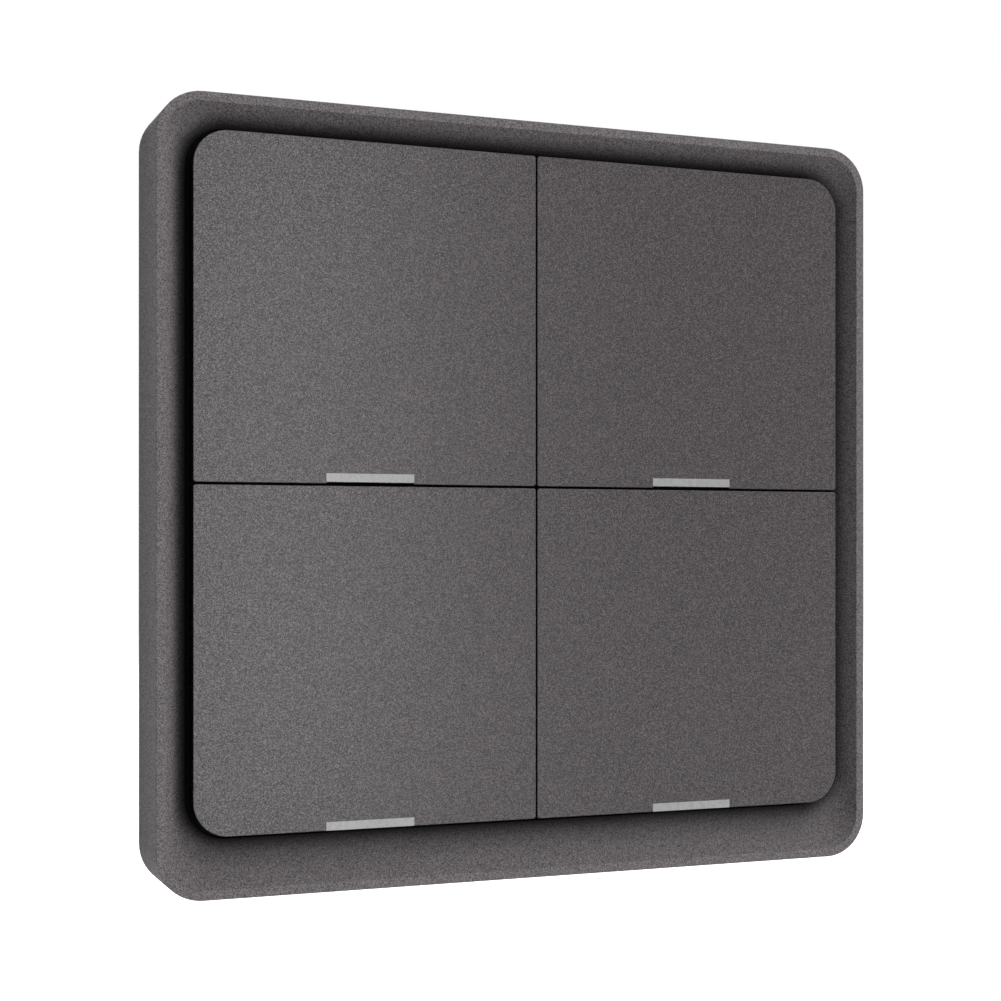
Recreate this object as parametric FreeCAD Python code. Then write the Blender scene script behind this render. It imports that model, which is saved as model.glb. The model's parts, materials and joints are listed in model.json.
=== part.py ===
import FreeCAD, Part
import math
import os

# Wall-mounted, battery-powered scene switch with four sprung keys behind a square dished frame.
# Millimetres. X runs to the right, Z up, and the wall is the plane Y = 0, with the switch in front of it.
# Depths are written as w, the distance in front of the wall, so a point at depth w has Y = -w.

V = FreeCAD.Vector
os.makedirs("parts", exist_ok=True)

# Frame outline and its dished front
plate_size = 86.0
plate_corner = 5.0
rim_width = 1.0
rim_bevel = 0.06
side_margin = 3.925
chin_margin = 6.69
valley_depth = 2.1
dish_hollow = 0.25
skirt_wall = 1.8
ledge_thickness = 0.8
core_count = 6
core_span = 0.84
core_rib = 1.0
core_share = 0.62

# Keys and their light bars
key_gap = 0.5
row_seam = 0.28
column_seam = 0.2
block_corner = 3.8
key_corner_bevel = 0.2
key_edge_bevel = 0.05
key_face = 1.2
key_wall = 0.9
key_skirt = 2.3
key_rib = 0.8
key_rib_height = 0.6
key_rib_share = 0.42
bar_length = 10.0
bar_height = 0.93
upper_bar_lift = 0.17
lower_bar_lift = 0.01
guide_flange = 0.75
guide_flange_wing = 1.0
guide_flange_reach = 1.9
guide_stalk = (3.6, 1.4)
guide_stalk_shift = 0.1
guide_lamp_gap = 0.1

# Layers from the wall to the front, in the order in which they lie
door_inset = 0.4
door_thickness = 1.0
cell_play = 0.1
cell_thickness = 3.0
contact_space = 0.3
board_thickness = 1.0
board_standoff = 0.6
carrier_thickness = 1.0

# Wall plate, its screw slots, tape pockets and the steel plates that the magnets hold
wall_plate_thickness = 1.6
slot_spacing = 60.0
slot_width = 4.2
slot_length = 8.0
slot_sink = 1.0
slot_sink_width = 8.4
pad_size = (56.0, 12.5)
pad_thickness = 0.5
pad_play = 0.15
catch_size = (12.0, 7.0)
catch_thickness = 0.6
catch_play = 0.05
opening_play = 0.35

# Rear housing, magnets and screws
layer_gap = 0.1
floor_thickness = 1.2
floor_rib = 0.8
floor_rib_height = 0.6
housing_wall = 1.2
fit_gap = 0.1
nose_reach = 0.45
nose_height = 0.8
nose_length = 7.0
nose_offset = 22.0
pry_slot = (10.0, 1.3)
magnet_size = (10.0, 5.0)
magnet_thickness = 1.5
magnet_spacing = (62.0, 32.0)
magnet_set_back = 0.02
pocket_play = 0.05
pocket_wall = 0.9
pocket_roof = 0.4
screw_radius = 1.0
screw_head_radius = 1.8
screw_head_height = 1.1
screw_inset = 4.4
screw_hole_play = 0.15
screw_head_play = 0.2
screw_sink_play = 0.15
screw_recess = (2.2, 0.45)
post_width = 5.4
thread_play = 0.02
seat_pad = 4.0

# Coin cell, its door with three bayonet lugs, and its contacts
cell_radius = 12.25
cell_step = 1.7
cell_cap_height = 0.3
cell_pocket_play = 0.25
ring_wall = 1.4
ring_root = 0.3
door_radius = 15.0
door_play = 0.15
lug_reach = 1.3
lug_thickness = 0.5
lug_angle = 24.0
lug_play_angle = 4.0
door_turn = 40.0
boss_wall = 1.45
coin_slot = (14.0, 1.8)
coin_slot_depth = 0.5
contact_sheet = 0.2
contact_width = 4.0
contact_slot_play = 0.3
leaf_root = (-9.0, -6.0)
leaf_lead = 0.2
leaf_tip = (1.5, 3.0)
angle_play = 0.03
angle_lift = 0.6
angle_foot = 3.0

# Hinges, hooks and switches under each key
hinge_inset = 2.4
hinge_drop = 2.1
trunnion_radius = 0.6
trunnion_play = 0.06
cheek_offset = 13.0
cheek_thickness = 1.2
cheek_half = 0.65
cheek_bevel = 0.35
ear_thickness = 1.2
ear_width = 2.5
ear_rise = 0.55
ear_mouth = 1.0
hook_offset = 12.0
hook_width = 3.6
hook_thickness = 1.0
hook_nose = 0.55
hook_nose_height = 0.8
hook_inset = 1.6
hook_catch_play = 0.15
stop_gap = 0.03
lever_share = 0.639
actuator_width = 3.2
actuator_rib = 0.9
plunger_travel = 0.25
plunger_width = 2.4
plunger_play = 0.1
plunger_rise = 0.5
plunger_depth = 0.28
plunger_floor_play = 0.03
switch_size = 5.2
switch_height = 0.9
switch_corner = 0.8
tab_size = (0.8, 1.2)
tab_thickness = 0.2

# Circuit board and what is soldered to it
board_play = 0.4
window_play = 0.4
well_wall = 0.6
board_hole_play = 0.2
led_size = (1.6, 0.8)
led_height = 0.5
led_base_height = 0.25
led_lens_share = 0.7
led_inset = 1.9
radio_size = (16.0, 13.0)
radio_board_thickness = 0.8
shield_size = (12.4, 9.6)
shield_sheet = 0.2
shield_shift = 0.4
small_part = (1.25, 2.0)
small_part_height = 0.6
small_part_pitch = 1.9
chip_size = 5.0
chip_height = 0.9
chip_share = 0.36
chip_shift = 3.0
small_part_share = 0.3
small_part_shift = 4.0
small_part_count = 4

# Depths of the layers, each resting on the one before
door_back = door_inset
door_front = door_back + door_thickness
cell_back = door_front + cell_play
cell_front = cell_back + cell_thickness
board_back = cell_front + contact_space
board_front = board_back + board_thickness
carrier_back = board_front + board_standoff
carrier_front = carrier_back + carrier_thickness
valley = carrier_front + ledge_thickness
rim_front = valley + valley_depth
floor_back = wall_plate_thickness + layer_gap
floor_front = floor_back + floor_thickness
face_back = rim_front - key_face
key_back = rim_front - key_skirt
hinge_depth = rim_front - hinge_drop
plunger_top = board_front + switch_height + plunger_rise
plunger_foot = board_front + switch_height - plunger_depth
led_front = board_front + led_height
screw_seat = floor_back + screw_head_height + screw_sink_play
screw_tip = carrier_front - fit_gap
pocket_front = floor_back + magnet_thickness + 2 * pocket_play

# Half widths of the nested squares, from the outside in
plate_half = plate_size / 2
skirt_half = plate_half - skirt_wall
skirt_corner = plate_corner - skirt_wall
module_half = skirt_half - fit_gap
module_corner = skirt_corner - fit_gap
tray_half = module_half - housing_wall
board_half = tray_half - board_play
wall_plate_half = skirt_half - nose_reach - opening_play

# Block of keys inside the frame
block_half = plate_half - side_margin
block_top = plate_half - side_margin
block_bottom = chin_margin - plate_half
key_width = block_half - column_seam / 2
key_height = (block_top - block_bottom - row_seam) / 2
lever_arm = lever_share * key_height
boss_radius = door_radius + lug_reach + door_play + boss_wall
ring_radius = cell_radius + cell_pocket_play + ring_wall


def point(x, z, w):
    """A point x to the right, z up and w in front of the wall."""
    return V(x, -w, z)


def box(x, z, w):
    """A box between the low and high values of x, z and w."""
    return Part.makeBox(x[1] - x[0], w[1] - w[0], z[1] - z[0], point(x[0], z[0], w[1]))


def about(centre, width):
    """The low and high value of something that is width wide about a centre."""
    return (centre - width / 2, centre + width / 2)


def block(x, z, size, w):
    """A box of a size along x and z about a centre, between two depths."""
    return box(about(x, size[0]), about(z, size[1]), w)


def grown(size, play):
    """A size with some play on every side."""
    return (size[0] + 2 * play, size[1] + 2 * play)


def disc(x, z, w, radius):
    """A round disc or rod that stands square to the wall."""
    return Part.makeCylinder(radius, w[1] - w[0], point(x, z, w[1]), V(0, 1, 0))


def rod(x, z, w, radius):
    """A round rod along X between the two values of x."""
    return Part.makeCylinder(radius, x[1] - x[0], point(x[0], z, w), V(1, 0, 0))


def outline(x, z, w, radii):
    """A closed rectangle at depth w, with a radius for each corner from the bottom left anticlockwise."""
    corners = [(x[0], z[0], 1, 1), (x[1], z[0], -1, 1), (x[1], z[1], -1, -1), (x[0], z[1], 1, -1)]
    arcs = []
    for turn, ((cx, cz, sx, sz), radius) in enumerate(zip(corners, radii)):
        angles = [math.radians(180 + 90 * turn + part) for part in (0, 45, 90)]
        middle = point(cx + sx * radius, cz + sz * radius, w)
        arcs.append([middle + V(radius * math.cos(a), 0, radius * math.sin(a)) for a in angles])
    edges = []
    for turn, (first, half, last) in enumerate(arcs):
        if radii[turn] > 0:
            edges.append(Part.Arc(first, half, last).toShape())
        following = arcs[(turn + 1) % len(arcs)][0]
        if last.distanceToPoint(following) > 1e-6:
            edges.append(Part.LineSegment(last, following).toShape())
    return Part.Wire(edges)


def slab(x, z, w, radii):
    """A plate between two depths with round corners."""
    return Part.Face(outline(x, z, w[0], radii)).extrude(V(0, w[0] - w[1], 0))


def square_slab(half, w, corner):
    """A square plate about the middle, with the same radius at each corner."""
    return slab((-half, half), (-half, half), w, [corner] * 4)


def slot(x, z, size, w):
    """A round-ended slot or bar that runs along X."""
    return slab(about(x, size[0]), about(z, size[1]), w, [size[1] / 2] * 4)


def bent_strip(points, z):
    """A strip of sheet metal whose outline in x and w is swept along z."""
    corners = [point(x, z[0], w) for x, w in points]
    return Part.Face(Part.makePolygon(corners + corners[:1])).extrude(V(0, 0, z[1] - z[0]))


def side_plate(points, x):
    """A plate whose outline in z and w is swept along x."""
    corners = [point(x[0], z, w) for z, w in points]
    return Part.Face(Part.makePolygon(corners + corners[:1])).extrude(V(x[1] - x[0], 0, 0))


def turned(shape, angle):
    """A copy turned about the axis through the middle of the plate, square to the wall."""
    copy = shape.copy()
    copy.rotate(V(0, 0, 0), V(0, 1, 0), angle)
    return copy


def joined(shapes):
    """One solid made of touching shapes."""
    return shapes[0].multiFuse(shapes[1:]).removeSplitter()


def save(name, shape):
    """Writes one node, a single solid or a group of separate ones, and prints what it holds."""
    solids = shape.Solids
    whole = solids[0] if len(solids) == 1 else Part.makeCompound(solids)
    whole.exportStep("parts/" + name + ".step")
    print(name, len(solids), round(whole.Volume, 2), whole.isValid())


def dish_section(share):
    """The outline of the dished slope, from the rim at share 0 to the edge round the keys at share 1."""
    rim_half = plate_half - rim_width
    side = rim_half - share * (rim_half - block_half - key_gap)
    bottom = -rim_half + share * (rim_half + block_bottom - key_gap)
    corner = (plate_corner - rim_width) * (1 - share) + (block_corner + key_gap) * share
    return outline((-side, side), (bottom, side), dish_depth(share), [corner] * 4)


def dish_depth(share):
    """The depth of the slope: hollow, so it falls faster at the rim than beside the keys."""
    fall = (1 + dish_hollow) * share - dish_hollow * share**2
    return rim_front - fall * valley_depth


def bevelled(shape, size):
    """The shape with a bevel round the edges of its front face."""
    front = [e for e in shape.Edges if all(abs(v.Y + rim_front) < 1e-6 for v in e.Vertexes)]
    return shape.makeChamfer(size, front)


def front_frame():
    """The square frame: skirt, flat rim, dished slope, ledge for the carrier and noses for the housing."""
    window_x = (-block_half - key_gap, block_half + key_gap)
    window_z = (block_bottom - key_gap, block_top + key_gap)
    window_corner = [block_corner + key_gap] * 4
    body = bevelled(square_slab(plate_half, (0, rim_front), plate_corner), rim_bevel)
    body = body.cut(Part.makeLoft([dish_section(step / 4) for step in range(5)], True, False))
    body = body.cut(slab(window_x, window_z, (0, valley), window_corner))
    body = body.cut(square_slab(skirt_half, (0, carrier_front), skirt_corner))
    core_top = dish_depth(core_share) - ledge_thickness
    core_edge = rim_width - plate_half + core_share * (chin_margin - key_gap - rim_width)
    core_pitch = 2 * core_span * block_half / core_count
    for step in range(core_count):
        core_x = about((step + 0.5) * core_pitch - core_span * block_half, core_pitch - core_rib)
        body = body.cut(box(core_x, (-skirt_half, core_edge), (carrier_front, core_top)))
    body = body.cut(box(about(0, pry_slot[0]), (-plate_half, -skirt_half), (0, pry_slot[1])))
    noses = []
    for quarter in range(4):
        for side in (-1, 1):
            nose = bent_strip([(skirt_half, floor_back - layer_gap / 2 - nose_height),
                               (skirt_half - nose_reach, floor_back - layer_gap / 2 - nose_height / 2),
                               (skirt_half - nose_reach, floor_back - layer_gap / 2),
                               (skirt_half, floor_back - layer_gap / 2)],
                              about(side * nose_offset, nose_length))
            noses.append(turned(nose, 90 * quarter))
    return joined([body] + noses)


class KeyPlace:
    """Where one key lies in the block, and the places of what it carries and works."""

    def __init__(self, row, column):
        self.name = row + "_" + column
        side = -1 if column == "left" else 1
        self.middle = side * (column_seam + key_width) / 2
        self.x = about(self.middle, key_width)
        bottom = block_bottom if row == "lower" else block_top - key_height
        self.z = (bottom, bottom + key_height)
        lift = lower_bar_lift if row == "lower" else upper_bar_lift
        self.bar = (bottom + lift, bottom + lift + bar_height)
        self.hinge = self.z[1] - hinge_inset
        self.switch = self.hinge - lever_arm
        self.led = bottom + led_inset
        self.stalk = self.led + guide_stalk_shift
        self.hook = bottom + hook_inset
        self.outer_corner = ["lower_left", "lower_right", "upper_right", "upper_left"].index(self.name)

    def radii(self, inset):
        """The corner radii of the key's outline moved inwards: round only at the whole block's corner."""
        return [block_corner - inset if corner == self.outer_corner else 0 for corner in range(4)]


def key(place):
    """One key: a ribbed shell notched for its light bar, cheeks with trunnions, hooks and an actuator."""
    shell = slab(place.x, place.z, (key_back, rim_front), place.radii(0))
    corners = [point(x, z, key_back) for x in place.x for z in place.z]
    upright = [e for e in shell.Edges if min(e.Vertexes[0].Point.distanceToPoint(c) for c in corners) < 1e-6
               and abs(e.Vertexes[0].Y - e.Vertexes[-1].Y) > key_skirt / 2]
    shell = shell.makeChamfer(key_corner_bevel, upright)
    shell = bevelled(shell, key_edge_bevel)
    inner_x = (place.x[0] + key_wall, place.x[1] - key_wall)
    inner_z = (place.z[0] + key_wall, place.z[1] - key_wall)
    shell = shell.cut(slab(inner_x, inner_z, (key_back, face_back), place.radii(key_wall)))
    notch_z = (place.z[0] - key_wall, place.bar[1])
    shell = shell.cut(box(about(place.middle, bar_length), notch_z, (key_back, rim_front)))
    parts = [shell]
    rib_depth = (face_back - key_rib_height, face_back)
    for side in (-1, 1):
        parts.append(box(about(place.middle + side * key_width / 4, key_rib), inner_z, rib_depth))
    for rib_z in (place.switch, place.switch + key_rib_share * key_height):
        parts.append(box(inner_x, about(rib_z, key_rib), rib_depth))
    for size in ((actuator_width, actuator_rib), (actuator_rib, actuator_width)):
        parts.append(block(place.middle, place.switch, size, (plunger_top + stop_gap, face_back)))
    for side in (-1, 1):
        cheek_x = about(place.middle + side * cheek_offset, cheek_thickness)
        low, high = about(place.hinge, 2 * cheek_half)
        end = hinge_depth - cheek_half
        cheek = [(low, face_back), (low, end + cheek_bevel), (low + cheek_bevel, end),
                 (high - cheek_bevel, end), (high, end + cheek_bevel), (high, face_back)]
        parts.append(side_plate(cheek, cheek_x))
        pin_start = place.middle + side * cheek_offset
        pin_end = pin_start + side * (cheek_thickness / 2 + fit_gap + ear_thickness)
        parts.append(rod(sorted((pin_start, pin_end)), place.hinge, hinge_depth, trunnion_radius))
        low, high = place.hook, place.hook + hook_thickness
        catch = carrier_back - stop_gap
        hook = [(low, face_back), (low, catch - hook_nose_height), (high, catch - hook_nose_height),
                (high + hook_nose, catch), (high, catch), (high, face_back)]
        parts.append(side_plate(hook, about(place.middle + side * hook_offset, hook_width)))
    return joined(parts)


def light_bar(place):
    """The light guide of one key: a flush bar in the notch, a flange behind the face, a stalk to its lamp."""
    bar = box(about(place.middle, bar_length), place.bar, (key_back, rim_front))
    flange_x = about(place.middle, bar_length + 2 * guide_flange_wing)
    flange_z = (place.bar[1], place.bar[1] + guide_flange_reach)
    flange = box(flange_x, flange_z, (face_back - guide_flange, face_back))
    stalk_depth = (led_front + plunger_travel * key_height / lever_arm + guide_lamp_gap, face_back)
    stalk = block(place.middle, place.stalk, guide_stalk, stalk_depth)
    return joined([bar, flange, stalk])


def key_carrier(places, screws):
    """The black plate behind the keys: hinge ears, windows for hooks, switches and guides, and screw pads."""
    plate = square_slab(module_half, (carrier_back, carrier_front), module_corner)
    parts = [plate]
    holes = []
    for place in places:
        for side in (-1, 1):
            first = place.middle + side * (cheek_offset + cheek_thickness / 2 + fit_gap)
            ear_x = sorted((first, first + side * ear_thickness))
            ear = box(ear_x, about(place.hinge, ear_width), (carrier_front, hinge_depth + ear_rise))
            ear = ear.cut(rod(ear_x, place.hinge, hinge_depth, trunnion_radius + trunnion_play))
            mouth = box(ear_x, about(place.hinge, ear_mouth), (hinge_depth, hinge_depth + ear_rise))
            parts.append(ear.cut(mouth))
            hook_x = about(place.middle + side * hook_offset, hook_width + 2 * window_play)
            hook_z = (place.hook - window_play, place.hook + hook_thickness + hook_catch_play)
            holes.append(box(hook_x, hook_z, (carrier_back, carrier_front)))
        opening = grown((switch_size, switch_size), window_play)
        holes.append(block(place.middle, place.switch, opening, (carrier_back, carrier_front)))
        well = grown(guide_stalk, window_play)
        well_depth = (board_front + fit_gap, carrier_back)
        parts.append(block(place.middle, place.stalk, grown(well, well_wall), well_depth))
        holes.append(block(place.middle, place.stalk, well, (board_front, carrier_front)))
    for x, z in screws:
        parts.append(block(x, z, (seat_pad, seat_pad), (board_front, carrier_back)))
        holes.append(disc(x, z, (board_front, carrier_front), screw_radius + thread_play))
    return joined(parts).cut(Part.makeCompound(holes)).removeSplitter()


def circuit_board(places, screws):
    """The board, with holes for the screws and for the hooks of the keys."""
    depth = (board_back, board_front)
    board = box((-board_half, board_half), (-board_half, board_half), depth)
    for x, z in screws:
        board = board.cut(disc(x, z, depth, screw_radius + board_hole_play))
    for place in places:
        for side in (-1, 1):
            hook_x = about(place.middle + side * hook_offset, hook_width + 2 * window_play)
            hook_z = (place.hook - window_play, place.hook + hook_thickness + hook_nose + window_play)
            board = board.cut(box(hook_x, hook_z, depth))
    return board


def switch_body(place):
    """A low tactile switch: a square body with cut corners, two solder tabs and a well for its plunger."""
    half = switch_size / 2
    cut = switch_corner
    depth = (board_front, board_front + switch_height)
    ring = [(half, half - cut), (half - cut, half), (cut - half, half), (-half, half - cut),
            (-half, cut - half), (cut - half, -half), (half - cut, -half), (half, cut - half)]
    corners = [point(place.middle + x, place.switch + z, depth[0]) for x, z in ring]
    body = Part.Face(Part.makePolygon(corners + corners[:1])).extrude(V(0, depth[0] - depth[1], 0))
    well = grown((plunger_width, plunger_width), plunger_play)
    well_depth = (plunger_foot - plunger_travel - plunger_floor_play, depth[1])
    body = body.cut(block(place.middle, place.switch, well, well_depth))
    for side in (-1, 1):
        tab_x = place.middle + side * (half + tab_size[0] / 2)
        body = body.fuse(block(tab_x, place.switch, tab_size, (board_front, board_front + tab_thickness)))
    return body.removeSplitter()


def switch_plunger(place):
    """The square plunger of one switch."""
    return block(place.middle, place.switch, (plunger_width, plunger_width), (plunger_foot, plunger_top))


def indicator_leds(places):
    """Four small lamps on the board, each behind a light guide."""
    lamps = []
    base_front = board_front + led_base_height
    for place in places:
        base = block(place.middle, place.led, led_size, (board_front, base_front))
        lens_size = (led_size[0] * led_lens_share, led_size[1])
        lens = block(place.middle, place.led, lens_size, (base_front, led_front))
        lamps.append(base.fuse(lens).removeSplitter())
    return Part.makeCompound(lamps)


def rear_housing(screws, magnets):
    """The tray that closes the module: floor, wall, cell ring, bayonet boss, screw posts, magnet pockets."""
    floor = square_slab(module_half, (floor_back, floor_front), module_corner)
    wall = square_slab(module_half, (floor_front, carrier_back), module_corner)
    wall = wall.cut(box(about(0, 2 * tray_half), about(0, 2 * tray_half), (floor_front, carrier_back)))
    parts = [floor, wall]
    parts.append(disc(0, 0, (door_back, floor_front), boss_radius))
    parts.append(disc(0, 0, (floor_front, board_back - contact_sheet - fit_gap), ring_radius))
    rib_depth = (floor_front, floor_front + floor_rib_height)
    for side in (-1, 1):
        parts.append(block(side * tray_half / 2, 0, (floor_rib, 2 * tray_half), rib_depth))
        rib_x = sorted((side * (ring_radius - ring_root), side * tray_half))
        parts.append(box(rib_x, about(0, floor_rib), rib_depth))
    for x, z in screws:
        post_x = sorted((math.copysign(tray_half, x), x - math.copysign(post_width / 2, x)))
        parts.append(box(post_x, about(z, post_width), (floor_front, board_back)))
    for x, z in magnets:
        parts.append(block(x, z, grown(magnet_size, pocket_wall), (floor_front, pocket_front + pocket_roof)))
    body = joined(parts)
    holes = [disc(0, 0, (cell_back - cell_play / 2, board_back), cell_radius + cell_pocket_play)]
    holes.append(disc(0, 0, (door_back, cell_back - cell_play / 2), door_radius + door_play))
    lug_back = door_front - lug_thickness - cell_play / 2
    holes.append(disc(0, 0, (lug_back, cell_back - cell_play / 2), door_radius + lug_reach + door_play))
    for third in range(3):
        entry = Part.makeCylinder(door_radius + lug_reach + door_play, lug_back - door_back,
                                  point(0, 0, lug_back), V(0, 1, 0), lug_angle + lug_play_angle)
        holes.append(turned(entry, 120 * third + door_turn - lug_play_angle / 2))
    leg_x = (cell_radius, cell_radius + angle_play + contact_sheet + cell_pocket_play)
    holes.append(box(leg_x, about(0, contact_width + 2 * contact_slot_play), (cell_back, board_back)))
    for x, z in screws:
        holes.append(disc(x, z, (floor_back, board_back), screw_radius + screw_hole_play))
        holes.append(disc(x, z, (floor_back, screw_seat), screw_head_radius + screw_head_play))
    for x, z in magnets:
        holes.append(block(x, z, grown(magnet_size, pocket_play), (floor_back, pocket_front)))
    return body.cut(Part.makeCompound(holes)).removeSplitter()


def housing_screws(screws):
    """Two cross-head screws that hold housing, board and carrier together."""
    head_back = screw_seat - screw_head_height
    recess = (head_back, head_back + screw_head_height / 2)
    made = []
    for x, z in screws:
        head = disc(x, z, (head_back, screw_seat), screw_head_radius)
        screw = head.fuse(disc(x, z, (screw_seat, screw_tip), screw_radius)).removeSplitter()
        for size in (screw_recess, screw_recess[::-1]):
            screw = screw.cut(block(x, z, size, recess))
        made.append(screw)
    return Part.makeCompound(made)


def battery_door():
    """The round door over the cell: three bayonet lugs and a slot for a coin."""
    parts = [disc(0, 0, (door_back, door_front), door_radius)]
    for third in range(3):
        lug = Part.makeCylinder(door_radius + lug_reach, lug_thickness,
                                point(0, 0, door_front), V(0, 1, 0), lug_angle)
        parts.append(turned(lug, 120 * third))
    return joined(parts).cut(block(0, 0, coin_slot, (door_back, door_back + coin_slot_depth)))


def coin_cell():
    """The coin cell: a wide can facing the door and a smaller cap facing the board."""
    can_front = cell_front - cell_cap_height
    can = disc(0, 0, (cell_back, can_front), cell_radius)
    return can.fuse(disc(0, 0, (can_front, cell_front), cell_radius - cell_step)).removeSplitter()


def cell_contacts():
    """The leaf that presses on the cell's cap and the angle that touches its edge."""
    near = cell_front
    sheet = contact_sheet
    width = about(0, contact_width)
    under = [(leaf_root[0], board_back), (leaf_root[0], board_back - sheet), (leaf_root[1], board_back - sheet),
             (0, near), (leaf_tip[0], near), (leaf_tip[1], near + sheet / 2)]
    over = [(leaf_tip[1], near + 1.5 * sheet), (leaf_tip[0], near + sheet), (0, near + sheet),
            (leaf_root[1] + leaf_lead, board_back)]
    leaf = bent_strip(under + over, width)
    inner = cell_radius + angle_play
    outer = ring_radius + angle_foot
    foot = cell_back + angle_lift
    angle = bent_strip([(inner, foot), (inner + sheet, foot), (inner + sheet, board_back - sheet),
                        (outer, board_back - sheet), (outer, board_back), (inner, board_back)], width)
    return leaf, angle


def radio_parts():
    """The radio's small board on the back of the main board, and the folded can over its chips."""
    z = (ring_radius + tray_half) / 2
    can_front = board_back - radio_board_thickness
    can_back = floor_front + fit_gap
    board = block(0, z, radio_size, (can_front, board_back))
    can_z = z - (radio_size[1] - shield_size[1]) / 2 + shield_shift
    can = block(0, can_z, shield_size, (can_back, can_front))
    inside = block(0, can_z, grown(shield_size, -shield_sheet), (can_back + shield_sheet, can_front))
    return board, can.cut(inside)


def board_components():
    """Chips and small parts soldered to the back of the board on both sides of the radio."""
    made = []
    row = (ring_radius + tray_half) / 2
    for side in (-1, 1):
        chip_depth = (board_back - chip_height, board_back)
        chip_x = side * chip_share * tray_half
        made.append(block(chip_x, row + chip_shift, (chip_size, chip_size), chip_depth))
        for step in range(small_part_count):
            x = side * (small_part_share * tray_half + small_part_pitch * step)
            depth = (board_back - small_part_height, board_back)
            made.append(block(x, row - small_part_shift, small_part, depth))
            made.append(block(x, -row, small_part, depth))
    return Part.makeCompound(made)


def wall_plate(magnets, pads):
    """The plate on the wall: two screw slots, a round opening, and pockets for tape and catch plates."""
    plate = square_slab(wall_plate_half, (0, wall_plate_thickness), module_corner - nose_reach)
    plate = plate.cut(disc(0, 0, (0, wall_plate_thickness), boss_radius + opening_play))
    for side in (-1, 1):
        x = side * slot_spacing / 2
        plate = plate.cut(slot(x, 0, (slot_length, slot_width), (0, wall_plate_thickness)))
        sink = grown((slot_length, slot_width), (slot_sink_width - slot_width) / 2)
        plate = plate.cut(slot(x, 0, sink, (wall_plate_thickness - slot_sink, wall_plate_thickness)))
    for z in pads:
        plate = plate.cut(block(0, z, grown(pad_size, pad_play), (0, pad_thickness)))
    for x, z in magnets:
        depth = (wall_plate_thickness - catch_thickness, wall_plate_thickness)
        plate = plate.cut(block(x, z, grown(catch_size, catch_play), depth))
    return plate.removeSplitter()


def build():
    """Makes every node and writes it."""
    places = [KeyPlace(row, column) for row in ("upper", "lower") for column in ("left", "right")]
    screws = [(side * (module_half - screw_inset), 0) for side in (-1, 1)]
    magnets = [(sx * magnet_spacing[0] / 2, sz * magnet_spacing[1] / 2) for sx in (-1, 1) for sz in (-1, 1)]
    pad_z = (boss_radius + opening_play + wall_plate_half) / 2
    pads = (-pad_z, pad_z)

    save("front_frame", front_frame())
    save("key_carrier", key_carrier(places, screws))
    save("circuit_board", circuit_board(places, screws))
    for place in places:
        save("key_" + place.name, key(place))
        save("light_bar_" + place.name, light_bar(place))
        save("switch_body_" + place.name, switch_body(place))
        save("switch_plunger_" + place.name, switch_plunger(place))
    save("indicator_leds", indicator_leds(places))
    radio_board, radio_can = radio_parts()
    save("radio_board", radio_board)
    save("radio_shield", radio_can)
    save("board_components", board_components())
    leaf, angle = cell_contacts()
    save("cell_contact_negative", leaf)
    save("cell_contact_positive", angle)
    save("coin_cell", coin_cell())
    save("rear_housing", rear_housing(screws, magnets))
    save("housing_screws", housing_screws(screws))
    save("battery_door", battery_door())
    magnet_back = floor_back + magnet_set_back
    magnet_depth = (magnet_back, magnet_back + magnet_thickness)
    save("hold_magnets", Part.makeCompound([block(x, z, magnet_size, magnet_depth) for x, z in magnets]))
    save("wall_plate", wall_plate(magnets, pads))
    catch_depth = (wall_plate_thickness - catch_thickness, wall_plate_thickness)
    save("catch_plates", Part.makeCompound([block(x, z, catch_size, catch_depth) for x, z in magnets]))
    save("adhesive_pads", Part.makeCompound([block(0, z, pad_size, (0, pad_thickness)) for z in pads]))
    print("depth of the frame", round(rim_front, 3), "key", round(key_width, 3), "by", round(key_height, 3))


build()
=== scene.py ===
"""The looks of the scene switch: its paints, plastics and metals, the light, the floor and the camera."""
import json
import math

import bpy
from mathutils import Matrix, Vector


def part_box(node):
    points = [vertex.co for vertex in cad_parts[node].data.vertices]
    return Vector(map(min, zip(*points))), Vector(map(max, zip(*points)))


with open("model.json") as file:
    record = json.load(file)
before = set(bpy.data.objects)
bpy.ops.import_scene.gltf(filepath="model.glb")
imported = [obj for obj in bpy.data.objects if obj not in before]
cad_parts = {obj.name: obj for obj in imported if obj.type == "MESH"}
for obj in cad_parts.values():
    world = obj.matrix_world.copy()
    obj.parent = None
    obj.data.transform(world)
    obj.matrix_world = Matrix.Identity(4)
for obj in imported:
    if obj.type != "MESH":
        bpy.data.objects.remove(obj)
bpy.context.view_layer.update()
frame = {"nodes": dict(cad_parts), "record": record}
nodes = frame["nodes"]
slot_of = {part["node"]: part["material_slot"] for part in frame["record"]["subparts"]}

# Colours of the pieces, linear
CHARCOAL = (0.149, 0.137, 0.1403)
KEY_CHARCOAL = (0.0397, 0.0334, 0.0349)
# Black of the keys' bare sides, and of the painted shade in the valley round the keys
BARE_BLACK_AND_SHADE = (0.0012, 0.0012, 0.0013)
CARRIER_BLACK = (0.006, 0.006, 0.0062)
HOUSING_GREY = (0.026, 0.025, 0.0255)
PLATE_GREY = (0.045, 0.0435, 0.044)
GUIDE_GREY = (0.3, 0.3, 0.304)
MASK_GREEN = (0.008, 0.075, 0.035)
COPPER_GREEN = (0.018, 0.13, 0.058)
SWITCH_BLACK = (0.018, 0.018, 0.019)
PLUNGER_WHITE = (0.58, 0.55, 0.5)
LAMP_WHITE = (0.72, 0.71, 0.66)
LAMP_LENS = (0.75, 0.52, 0.08)
EPOXY_BLACK = (0.012, 0.012, 0.0125)
TIN = (0.66, 0.65, 0.62)
NICKEL = (0.62, 0.6, 0.56)
ZINC = (0.56, 0.57, 0.6)
STEEL = (0.45, 0.45, 0.46)
FOAM_WHITE = (0.66, 0.66, 0.64)
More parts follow.
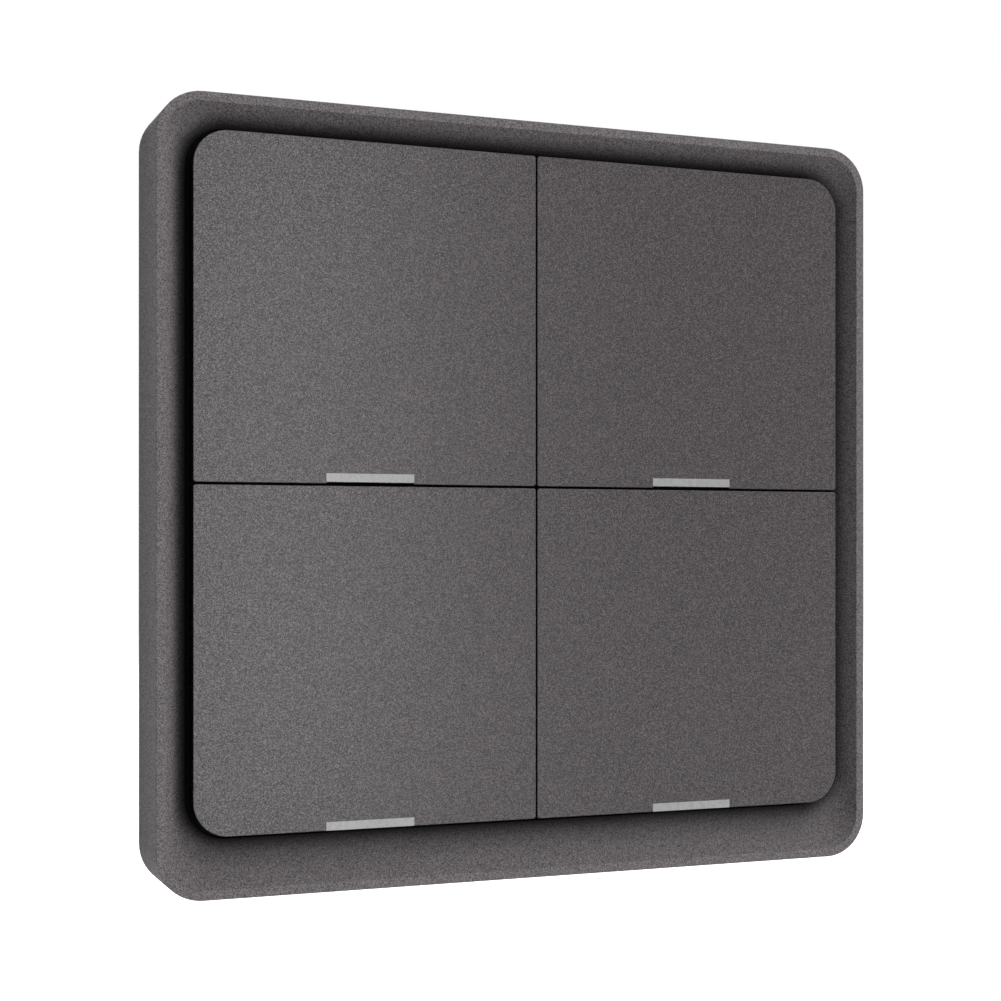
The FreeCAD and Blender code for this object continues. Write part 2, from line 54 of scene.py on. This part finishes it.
WHITE = (1.0, 1.0, 1.0)
FLOOR_WHITE = (0.8, 0.8, 0.8)

# Grain sizes in metres
FLECK = 0.00008
SPARK = 0.0003
PLUNGER_SPARK = 0.0002
EPOXY_SPARK = 0.00012

# Scale of the flecks' pattern along each axis, which makes them longer along the depth of the switch
FLECK_STRETCH = (1.0, 0.35, 1.0)

# Grains per metre in the clouds, lines and cells of the finishes
FLOW_CLOUDS = 70.0
DRAWN_GRAINS = 900.0
SCUFFS = 420.0
GUIDE_CLOUDS = 300.0
GUIDE_SPECKS = 4200.0
GUIDE_SATIN = 1800.0
TRACK_CELLS = 260.0
COPPER_POURS = 55.0
GLASS_WEAVE = 9000.0
MASK_SHEEN = 800.0
LAMP_CLOUDS = 900.0
CELL_RINGS = 5200.0
CELL_SMEARS = 130.0
FOAM_CELLS = 3800.0

# The span in which nearly all values of a noise lie
NOISE_SPAN = (0.3, 0.7)

# Corner of the key block, and how far outside it the painted shade in the valley round the keys is black and
# where it has faded out, in metres
BLOCK_CORNER = 0.0038
PAINTED_SHADE_INNER = 0.0002
PAINTED_SHADE_OUTER = 0.0025

# Half the width inside the frame's rim, how soft its edge is, and how deep the sides are, in metres
INNER_HALF = 0.042
RIM_SOFTNESS = 0.00005
SIDE_DEPTH = 0.0095

# Painted shade: how bright the slopes inside the rim and the back edge of the sides are kept, darkened as the
# light darkens them
SLOPE_SHADED_LEVEL = 0.72
BACK_SHADED_LEVEL = 0.6

# From where to where a surface turns from the slope into the rim, and from a key's side into its face
RIM_FACING = (0.96, 0.99)
KEY_FACING = (0.5, 0.6)

# Half the width of a lamp package, and where its lens ends, in metres
LAMP_HALF = 0.0008
LENS_EDGE = (0.00042, 0.00036)

# Light of the world on the switch, glow and height of the floor, and half its width
WORLD_LEVEL = 0.1
FLOOR_GLOW = 0.82
FLOOR_HEIGHT = -0.15
FLOOR_HALF = 3.0

# The way to the front, and the origin of the frame
FRONT = (0.0, -1.0, 0.0)
ORIGIN = (0.0, 0.0, 0.0)


class Tree:
    """Adds nodes to a node tree, each with its settings and inputs in one call."""

    def __init__(self, tree):
        self.tree = tree

    def add(self, kind, inputs=None, **settings):
        """A node whose inputs are given as values or as the sockets that feed them."""
        node = self.tree.nodes.new(kind)
        for name, value in settings.items():
            setattr(node, name, value)
        for name, value in (inputs or {}).items():
            self.feed(value, node.inputs[name])
        return node

    def feed(self, value, socket):
        """Joins a socket to another one, or gives it a value."""
        if isinstance(value, bpy.types.NodeSocket):
            self.tree.links.new(value, socket)
        else:
            socket.default_value = value

    def sum(self, operation, first, second=0.0):
        """One sum on two values."""
        return self.add("ShaderNodeMath", {0: first, 1: second}, operation=operation).outputs[0]

    def vector(self, operation, first, second=ORIGIN, output=0):
        """One sum on two vectors."""
        return self.add("ShaderNodeVectorMath", {0: first, 1: second}, operation=operation).outputs[output]

    def place(self):
        """Where a point lies in the frame, in metres."""
        return self.add("ShaderNodeTexCoord").outputs["Object"]

    def facing(self):
        """Which way the real surface faces, without any bump."""
        return self.add("ShaderNodeNewGeometry").outputs["True Normal"]

    def forward(self):
        """How far a surface faces the front, from minus one to one."""
        return self.vector("DOT_PRODUCT", self.facing(), FRONT, output="Value")

    def parts(self, vector):
        """The three parts of a vector."""
        return self.add("ShaderNodeSeparateXYZ", {0: vector}).outputs

    def noise(self, place, scale, detail=2.0, roughness=0.5):
        """Noise from 0 to 1 with about so many grains per metre."""
        given = {"Vector": place, "Scale": scale, "Detail": detail, "Roughness": roughness}
        return self.add("ShaderNodeTexNoise", given).outputs["Fac"]

    def ramp(self, value, span, to=(0.0, 1.0), course="LINEAR"):
        """Takes a value from one span to another and holds it at the ends."""
        given = {"Value": value, "From Min": span[0], "From Max": span[1], "To Min": to[0], "To Max": to[1]}
        return self.add("ShaderNodeMapRange", given, interpolation_type=course).outputs["Result"]

    def spread(self, noise, low, high):
        """Spreads a noise between two values."""
        return self.ramp(noise, NOISE_SPAN, (low, high))

    def mix(self, share, first, second):
        """A colour between two others."""
        return self.add("ShaderNodeMix", {0: share, 6: first, 7: second}, data_type="RGBA").outputs[2]

    def shaded(self, colour, shade):
        """A colour times a shade."""
        return self.add("ShaderNodeVectorMath", {0: colour, "Scale": shade}, operation="SCALE").outputs[0]

    def use(self, group, **values):
        """Places a shared effect with its own values, and gives its outputs."""
        node = self.add("ShaderNodeGroup", node_tree=group)
        for name, value in values.items():
            self.feed(value, node.inputs[name])
        return node.outputs


def full(colour):
    """A colour with its alpha of one."""
    return (*colour, 1.0)


def new_group(name, inputs, outputs):
    """An empty shader node group with named values coming in and going out."""
    group = bpy.data.node_groups.new(name, "ShaderNodeTree")
    for label, value in inputs.items():
        group.interface.new_socket(label, in_out="INPUT", socket_type="NodeSocketFloat").default_value = value
    for label in outputs:
        group.interface.new_socket(label, in_out="OUTPUT", socket_type="NodeSocketFloat")
    t = Tree(group)
    return group, t, t.add("NodeGroupInput").outputs, t.add("NodeGroupOutput").inputs


def fleck_group():
    """The fine fleck in the matt paint: small grains, each with a shade of its own."""
    darkest = 0.1
    inputs = {"Grain": FLECK, "Contrast": 1.0}
    group, t, given, out = new_group("paint_fleck", inputs, ["Shade", "Fleck", "Height"])
    place = t.vector("MULTIPLY", t.place(), FLECK_STRETCH)
    per_metre = t.sum("DIVIDE", 1.0, given["Grain"])
    grains = t.add("ShaderNodeTexVoronoi", {"Vector": place, "Scale": per_metre}).outputs["Color"]
    fleck = t.parts(grains)[0]
    swing = t.sum("MULTIPLY", t.sum("SUBTRACT", fleck, 0.5), given["Contrast"])
    t.feed(t.sum("MAXIMUM", t.sum("ADD", 1.0, swing), darkest), out["Shade"])
    t.feed(fleck, out["Fleck"])
    t.feed(t.noise(place, per_metre, detail=1.0, roughness=0.7), out["Height"])
    return group


def grain_group():
    """The spark-eroded grain of a bare moulding, with faint flow clouds."""
    group, t, given, out = new_group("mould_grain", {"Grain": SPARK}, ["Shade", "Height"])
    place = t.place()
    grain = t.noise(place, t.sum("DIVIDE", 1.0, given["Grain"]), detail=3.0, roughness=0.6)
    grain_shade = t.spread(grain, 0.86, 1.1)
    cloud_shade = t.spread(t.noise(place, FLOW_CLOUDS), -0.05, 0.05)
    t.feed(t.sum("ADD", grain_shade, cloud_shade), out["Shade"])
    t.feed(grain, out["Height"])
    return group


def drawn_group():
    """Fine lines drawn along one way over rolled or stamped metal, with a few scuffs."""
    inputs = {"Along X": 1.0, "Along Z": 20.0}
    group, t, given, out = new_group("drawn_lines", inputs, ["Shade", "Scuff", "Height"])
    along_y = 6.0
    place = t.place()
    stretch = t.add("ShaderNodeCombineXYZ", {0: given["Along X"], 1: along_y, 2: given["Along Z"]}).outputs[0]
    lines = t.noise(t.vector("MULTIPLY", place, stretch), DRAWN_GRAINS, detail=3.0, roughness=0.6)
    scuff = t.noise(place, SCUFFS, detail=4.0, roughness=0.65)
    t.feed(t.spread(lines, 0.9, 1.06), out["Shade"])
    t.feed(t.ramp(scuff, (0.52, 0.66)), out["Scuff"])
    t.feed(lines, out["Height"])
    return group


PAINT_FLECK = fleck_group()
MOULD_GRAIN = grain_group()
DRAWN_LINES = drawn_group()


def new_material(name):
    """A new material whose Principled shader is joined to its output."""
    material = bpy.data.materials.new(name)
    material.use_nodes = True
    material.node_tree.nodes.clear()
    t = Tree(material.node_tree)
    shader = t.add("ShaderNodeBsdfPrincipled")
    t.add("ShaderNodeOutputMaterial", {"Surface": shader.outputs[0]})
    return material, t, shader.inputs


def bump(t, height, strength, depth):
    """The normal of a surface with a fine relief, whose depth is in metres."""
    given = {"Height": height, "Strength": strength, "Distance": depth}
    return t.add("ShaderNodeBump", given).outputs[0]


def key_block():
    """The lowest and highest corners of the four keys together."""
    places = ("upper_left", "upper_right", "lower_left", "lower_right")
    corners = [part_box("key_" + place) for place in places]
    low = Vector([min(box[0][axis] for box in corners) for axis in range(3)])
    high = Vector([max(box[1][axis] for box in corners) for axis in range(3)])
    return low, high


def distance_to_keys(t, corner):
    """How far a point lies outside the rounded outline of the key block, in metres."""
    low, high = key_block()
    middle = (low + high) / 2
    half = (high - low) / 2
    moved = t.vector("ABSOLUTE", t.vector("SUBTRACT", t.place(), tuple(middle)))
    core = (half.x - corner, 1.0, half.z - corner)
    beyond = t.vector("MAXIMUM", t.vector("SUBTRACT", moved, core), ORIGIN)
    return t.sum("SUBTRACT", t.vector("LENGTH", beyond, output="Value"), corner)


def painted_slope_and_back_shade(t):
    """How bright a place is kept under painted shade.

    Full in front, darker on the slopes inside the rim and towards the back of the sides, where shade falls.
    """
    x, y, z = t.parts(t.vector("ABSOLUTE", t.place()))
    inside = t.ramp(t.sum("MAXIMUM", x, z), (INNER_HALF + RIM_SOFTNESS, INNER_HALF - RIM_SOFTNESS))
    # Painted shade: the slopes and the back of the sides are darkened as the light darkens them
    slope = t.ramp(t.forward(), RIM_FACING, (1.0 - SLOPE_SHADED_LEVEL, 0.0))
    slope_painted_shade = t.sum("MULTIPLY", inside, slope)
    return t.sum("SUBTRACT", t.ramp(y, (0.0, SIDE_DEPTH), (BACK_SHADED_LEVEL, 1.0)), slope_painted_shade)


def frame_paint():
    """Matt charcoal paint with a fine fleck. It carries painted shade: it fades to black down the slope into
    the gap round the keys, and is darker on the slopes and towards the back.
    """
    material, t, shader = new_material("charcoal_paint")
    fleck = t.use(PAINT_FLECK, Contrast=1.3)
    # Painted shade: the colour fades to black in the valley round the keys, where the keys' shadow and the
    # deep gap darken it
    clear_of_painted_shade = t.ramp(distance_to_keys(t, BLOCK_CORNER), (PAINTED_SHADE_INNER, PAINTED_SHADE_OUTER), course="SMOOTHSTEP")
    painted_lit_share = t.sum("MULTIPLY", clear_of_painted_shade, painted_slope_and_back_shade(t))
    painted = t.shaded(CHARCOAL, fleck["Shade"])
    t.feed(t.mix(painted_lit_share, full(BARE_BLACK_AND_SHADE), painted), shader["Base Color"])
    t.feed(t.ramp(fleck["Fleck"], (0.0, 1.0), (0.82, 0.66)), shader["Roughness"])
    t.feed(bump(t, fleck["Height"], strength=0.15, depth=0.00003), shader["Normal"])
    t.feed(0.1, shader["Specular IOR Level"])
    return material


def key_paint():
    """Satin charcoal paint on the faces of the keys, with bare black plastic on their sides, kept fully black
    as painted shade for the deep gaps round the keys.
    """
    material, t, shader = new_material("key_plastic")
    fleck = t.use(PAINT_FLECK, Contrast=5.0)
    # The keys' sides are black: bare plastic, and painted shade for the gaps round them
    face = t.ramp(t.forward(), KEY_FACING)
    painted = t.shaded(KEY_CHARCOAL, fleck["Shade"])
    t.feed(t.mix(face, full(BARE_BLACK_AND_SHADE), painted), shader["Base Color"])
    t.feed(t.ramp(fleck["Fleck"], (0.0, 1.0), (0.36, 0.22)), shader["Roughness"])
    t.feed(bump(t, fleck["Height"], strength=0.1, depth=0.00002), shader["Normal"])
    t.feed(0.35, shader["Specular IOR Level"])
    return material


def moulding(slot, colour, roughness, relief=0.3):
    """Bare moulded plastic with a spark-eroded grain."""
    swing = 0.07
    material, t, shader = new_material(slot)
    grain = t.use(MOULD_GRAIN)
    t.feed(t.shaded(colour, grain["Shade"]), shader["Base Color"])
    t.feed(t.spread(grain["Height"], roughness - swing, roughness + swing), shader["Roughness"])
    t.feed(bump(t, grain["Height"], relief, depth=0.00006), shader["Normal"])
    return material


def bare_black():
    """The black key carrier, matt and without gloss."""
    material, t, shader = new_material("black_plastic")
    grain = t.use(MOULD_GRAIN)
    t.feed(t.shaded(CARRIER_BLACK, grain["Shade"]), shader["Base Color"])
    t.feed(bump(t, grain["Height"], strength=0.2, depth=0.00006), shader["Normal"])
    t.feed(0.85, shader["Roughness"])
    t.feed(0.1, shader["Specular IOR Level"])
    return material


def light_guide():
    """Milky grey light guide with its lamps off, cloudy inside and satin on its face."""
    material, t, shader = new_material("light_guide")
    place = t.place()
    cloud = t.spread(t.noise(place, GUIDE_CLOUDS), 0.95, 1.05)
    speck = t.spread(t.noise(place, GUIDE_SPECKS, detail=1.0), 0.96, 1.04)
    t.feed(t.shaded(GUIDE_GREY, t.sum("MULTIPLY", cloud, speck)), shader["Base Color"])
    t.feed(t.spread(t.noise(place, GUIDE_SATIN), 0.24, 0.32), shader["Roughness"])
    return material


def copper_under_mask(t, place, x):
    """Where the copper runs under the solder mask: thin tracks round the cells, and wide pours."""
    drift = 60.0
    pitch = 0.16
    track_edge = (0.07, 0.085)
    track_share = 0.8
    pour_edge = (0.52, 0.525)
    pour_share = 0.6
    given = {"Vector": place, "Scale": TRACK_CELLS}
    cells = t.add("ShaderNodeTexVoronoi", given, distance="MANHATTAN", feature="F1").outputs["Distance"]
    drifting = t.sum("ADD", cells, t.sum("MULTIPLY", x, drift))
    track = t.ramp(t.sum("PINGPONG", drifting, pitch), track_edge)
    pour = t.ramp(t.noise(place, COPPER_POURS, detail=1.0), pour_edge)
    return t.sum("MAXIMUM", t.sum("MULTIPLY", track, track_share), t.sum("MULTIPLY", pour, pour_share))


def board_laminate():
    """Green solder mask, paler over the copper tracks and pads that run under it."""
    weave_depth = 0.05
    material, t, shader = new_material("board_laminate")
    place = t.place()
    x, _, z = t.parts(place)
    copper = copper_under_mask(t, place, x)
    across = t.sum("SINE", t.sum("MULTIPLY", x, GLASS_WEAVE))
    upward = t.sum("SINE", t.sum("MULTIPLY", z, GLASS_WEAVE))
    weave = t.sum("MULTIPLY", t.sum("MULTIPLY", across, upward), weave_depth)
    base = t.mix(copper, full(MASK_GREEN), full(COPPER_GREEN))
    t.feed(t.shaded(base, t.sum("ADD", 1.0, weave)), shader["Base Color"])
    t.feed(t.spread(t.noise(place, MASK_SHEEN), 0.26, 0.36), shader["Roughness"])
    t.feed(bump(t, copper, strength=0.25, depth=0.00004), shader["Normal"])
    return material


def plunger_plastic():
    """Off-white moulded plungers, a little glossier on their worn tops."""
    material, t, shader = new_material("plunger_plastic")
    grain = t.use(MOULD_GRAIN, Grain=PLUNGER_SPARK)
    t.feed(t.shaded(PLUNGER_WHITE, grain["Shade"]), shader["Base Color"])
    t.feed(t.ramp(t.forward(), (0.6, 0.9), (0.5, 0.34)), shader["Roughness"])
    t.feed(bump(t, grain["Height"], strength=0.15, depth=0.00004), shader["Normal"])
    return material


def lamp_lens(t, place):
    """Where the lenses are: round the middle of the packages' front faces."""
    low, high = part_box("indicator_leds")
    centre = (high.x + low.x) / 2
    package = high.x - centre - LAMP_HALF
    side = t.sum("ABSOLUTE", t.sum("SUBTRACT", t.parts(place)[0], centre))
    off_middle = t.sum("ABSOLUTE", t.sum("SUBTRACT", side, package))
    return t.sum("MULTIPLY", t.ramp(off_middle, LENS_EDGE), t.ramp(t.forward(), (0.8, 0.9)))


def lamp_package():
    """White lamp packages with a yellow lens in the middle of their faces."""
    material, t, shader = new_material("lamp_package")
    place = t.place()
    cloud = t.spread(t.noise(place, LAMP_CLOUDS), 0.9, 1.05)
    lens = lamp_lens(t, place)
    t.feed(t.shaded(t.mix(lens, full(LAMP_WHITE), full(LAMP_LENS)), cloud), shader["Base Color"])
    t.feed(t.ramp(lens, (0.0, 1.0), (0.45, 0.15)), shader["Roughness"])
    return material


def chip_epoxy():
    """Black moulded chips and small parts with a fine dull grain."""
    material, t, shader = new_material("chip_epoxy")
    grain = t.use(MOULD_GRAIN, Grain=EPOXY_SPARK)
    t.feed(t.shaded(EPOXY_BLACK, grain["Shade"]), shader["Base Color"])
    t.feed(t.spread(grain["Height"], 0.42, 0.6), shader["Roughness"])
    t.feed(bump(t, grain["Height"], strength=0.2, depth=0.00003), shader["Normal"])
    return material


def metal(slot, colour, roughness, along_x=1.0, along_z=20.0, dulling=0.25):
    """Rolled, stamped or plated metal, with lines along one way and duller scuffs."""
    material, t, shader = new_material(slot)
    lines = t.use(DRAWN_LINES, **{"Along X": along_x, "Along Z": along_z})
    dulled = t.sum("MULTIPLY", lines["Shade"], t.ramp(lines["Scuff"], (0.0, 1.0), (1.0, 1.0 - dulling / 2)))
    t.feed(t.shaded(colour, dulled), shader["Base Color"])
    t.feed(t.ramp(lines["Scuff"], (0.0, 1.0), (roughness, roughness + dulling)), shader["Roughness"])
    t.feed(bump(t, lines["Height"], strength=0.12, depth=0.00003), shader["Normal"])
    t.feed(1.0, shader["Metallic"])
    return material


def cell_steel():
    """The coin cell's nickel-plated can, with fine rings turned about its middle."""
    material, t, shader = new_material("cell_steel")
    place = t.place()
    low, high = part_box("coin_cell")
    middle = (low + high) / 2
    flat = t.vector("MULTIPLY", t.vector("SUBTRACT", place, tuple(middle)), (1.0, 0.0, 1.0))
    radius = t.vector("LENGTH", flat, output="Value")
    given = {"W": radius, "Scale": CELL_RINGS, "Detail": 2.0}
    rings = t.add("ShaderNodeTexNoise", given, noise_dimensions="1D").outputs["Fac"]
    smear = t.ramp(t.noise(place, CELL_SMEARS, detail=3.0), (0.45, 0.7), (0.0, 0.15))
    t.feed(t.shaded(NICKEL, t.spread(rings, 0.9, 1.08)), shader["Base Color"])
    t.feed(t.sum("ADD", t.spread(rings, 0.2, 0.3), smear), shader["Roughness"])
    t.feed(bump(t, rings, strength=0.1, depth=0.00002), shader["Normal"])
    t.feed(1.0, shader["Metallic"])
    return material


def tape_foam():
    """White foam tape with a fine pattern of open cells over its faces."""
    material, t, shader = new_material("tape_foam")
    cells = t.add("ShaderNodeTexVoronoi", {"Vector": t.place(), "Scale": FOAM_CELLS}).outputs["Distance"]
    t.feed(t.shaded(FOAM_WHITE, t.ramp(cells, (0.0, 0.6), (0.82, 1.05))), shader["Base Color"])
    t.feed(0.8, shader["Roughness"])
    t.feed(bump(t, cells, strength=0.4, depth=0.00008), shader["Normal"])
    return material


def dress():
    """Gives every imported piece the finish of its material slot, in place of its plain colour."""
    for node in nodes.values():
        node.data.materials.clear()
    for plain in list(bpy.data.materials):
        bpy.data.materials.remove(plain)
    finishes = {
        "charcoal_paint": frame_paint(),
        "key_plastic": key_paint(),
        "black_plastic": bare_black(),
        "housing_plastic": moulding("housing_plastic", HOUSING_GREY, roughness=0.55),
        "wall_plate_plastic": moulding("wall_plate_plastic", PLATE_GREY, roughness=0.55),
        "light_guide": light_guide(),
        "board_laminate": board_laminate(),
        "switch_plastic": moulding("switch_plastic", SWITCH_BLACK, roughness=0.45, relief=0.15),
        "plunger_plastic": plunger_plastic(),
        "lamp_package": lamp_package(),
        "shield_tin": metal("shield_tin", TIN, roughness=0.28),
        "chip_epoxy": chip_epoxy(),
        "contact_nickel": metal("contact_nickel", NICKEL, roughness=0.22, along_x=20.0, along_z=1.0),
        "cell_steel": cell_steel(),
        "screw_zinc": metal("screw_zinc", ZINC, roughness=0.3, along_x=8.0, along_z=8.0),
        "magnet_nickel": metal("magnet_nickel", NICKEL, roughness=0.12, along_x=2.0, along_z=2.0,
                               dulling=0.1),
        "catch_steel": metal("catch_steel", STEEL, roughness=0.36, along_z=16.0, dulling=0.12),
        "tape_foam": tape_foam(),
    }
    for name, node in nodes.items():
        node.data.materials.append(finishes[slot_of[name]])


def softbox(name, place, target, size, power):
    """A rectangular soft lamp turned towards a point."""
    data = bpy.data.lights.new(name, "AREA")
    data.shape = "RECTANGLE"
    data.size, data.size_y = size
    data.energy = power
    lamp = bpy.data.objects.new(name, data)
    bpy.context.scene.collection.objects.link(lamp)
    lamp.location = place
    lamp.rotation_euler = (Vector(target) - Vector(place)).to_track_quat("-Z", "Y").to_euler()


def from_front(tilt, turn, distance):
    """A place that is tilted away from straight in front, and turned from the right towards the top."""
    lift = 0.02
    tilt = math.radians(tilt)
    turn = math.radians(turn)
    across = distance * math.sin(tilt)
    return (across * math.cos(turn), -distance * math.cos(tilt), across * math.sin(turn) + lift)


def seen_directly(t):
    """One for what the camera sees itself, in a reflection or through glass."""
    path = t.add("ShaderNodeLightPath").outputs
    direct = t.sum("MAXIMUM", path["Is Camera Ray"], path["Is Glossy Ray"])
    return t.sum("MAXIMUM", direct, path["Is Transmission Ray"])


def backdrop():
    """A white world that lights the switch only dimly and evenly."""
    world = bpy.data.worlds.new("studio")
    bpy.context.scene.world = world
    world.use_nodes = True
    world.node_tree.nodes.clear()
    t = Tree(world.node_tree)
    colour = t.mix(seen_directly(t), full((WORLD_LEVEL,) * 3), full(WHITE))
    back = t.add("ShaderNodeBackground", {"Color": colour})
    t.add("ShaderNodeOutputWorld", {"Surface": back.outputs[0]})


def lamps():
    """The soft lamps round the switch: one for the sheen on the keys, two main ones and two from behind."""
    softbox("sheen_on_keys", (0.1, -0.6, 0.0), target=(0.1, 0.0, 0.0), size=(0.15, 0.45), power=0.94)
    high = from_front(tilt=74, turn=60, distance=3.0)
    softbox("main_high", high, target=ORIGIN, size=(1.8, 1.8), power=85.0)
    right = from_front(tilt=60, turn=0, distance=3.0)
    softbox("main_right", right, target=ORIGIN, size=(1.8, 1.8), power=37.0)
    softbox("left_behind", (-0.9, 0.3, 0.1), target=ORIGIN, size=(0.5, 0.5), power=1.15)
    softbox("behind", (0.6, 1.8, 0.7), target=ORIGIN, size=(1.2, 1.2), power=24.0)


def floor():
    """A plain white floor below the switch, which keeps its shadow."""
    mesh = bpy.data.meshes.new("floor")
    turns = ((-1, -1), (1, -1), (1, 1), (-1, 1))
    corners = [(x * FLOOR_HALF, y * FLOOR_HALF, FLOOR_HEIGHT) for x, y in turns]
    mesh.from_pydata(corners, [], [(0, 1, 2, 3)])
    made = bpy.data.objects.new("floor", mesh)
    bpy.context.scene.collection.objects.link(made)
    material, t, shader = new_material("white_floor")
    t.feed(full(FLOOR_WHITE), shader["Base Color"])
    t.feed(0.9, shader["Roughness"])
    t.feed(0.1, shader["Specular IOR Level"])
    t.feed(full(WHITE), shader["Emission Color"])
    t.feed(t.sum("MULTIPLY", seen_directly(t), FLOOR_GLOW), shader["Emission Strength"])
    mesh.materials.append(material)


def camera():
    """The photograph's view: level, from 23 degrees left of square on."""
    data = bpy.data.cameras.new("camera")
    data.sensor_width = 36.0
    data.lens = 69.19
    data.shift_x = -0.08073
    data.shift_y = 0.04724
    made = bpy.data.objects.new("camera", data)
    made.location = (-0.08023, -0.21403, -0.0055)
    made.rotation_euler = (math.radians(90.0), 0.0, math.radians(-22.822))
    bpy.context.scene.collection.objects.link(made)
    bpy.context.scene.camera = made


dress()
floor()
backdrop()
lamps()
camera()
bpy.context.scene.view_settings.view_transform = "Standard"
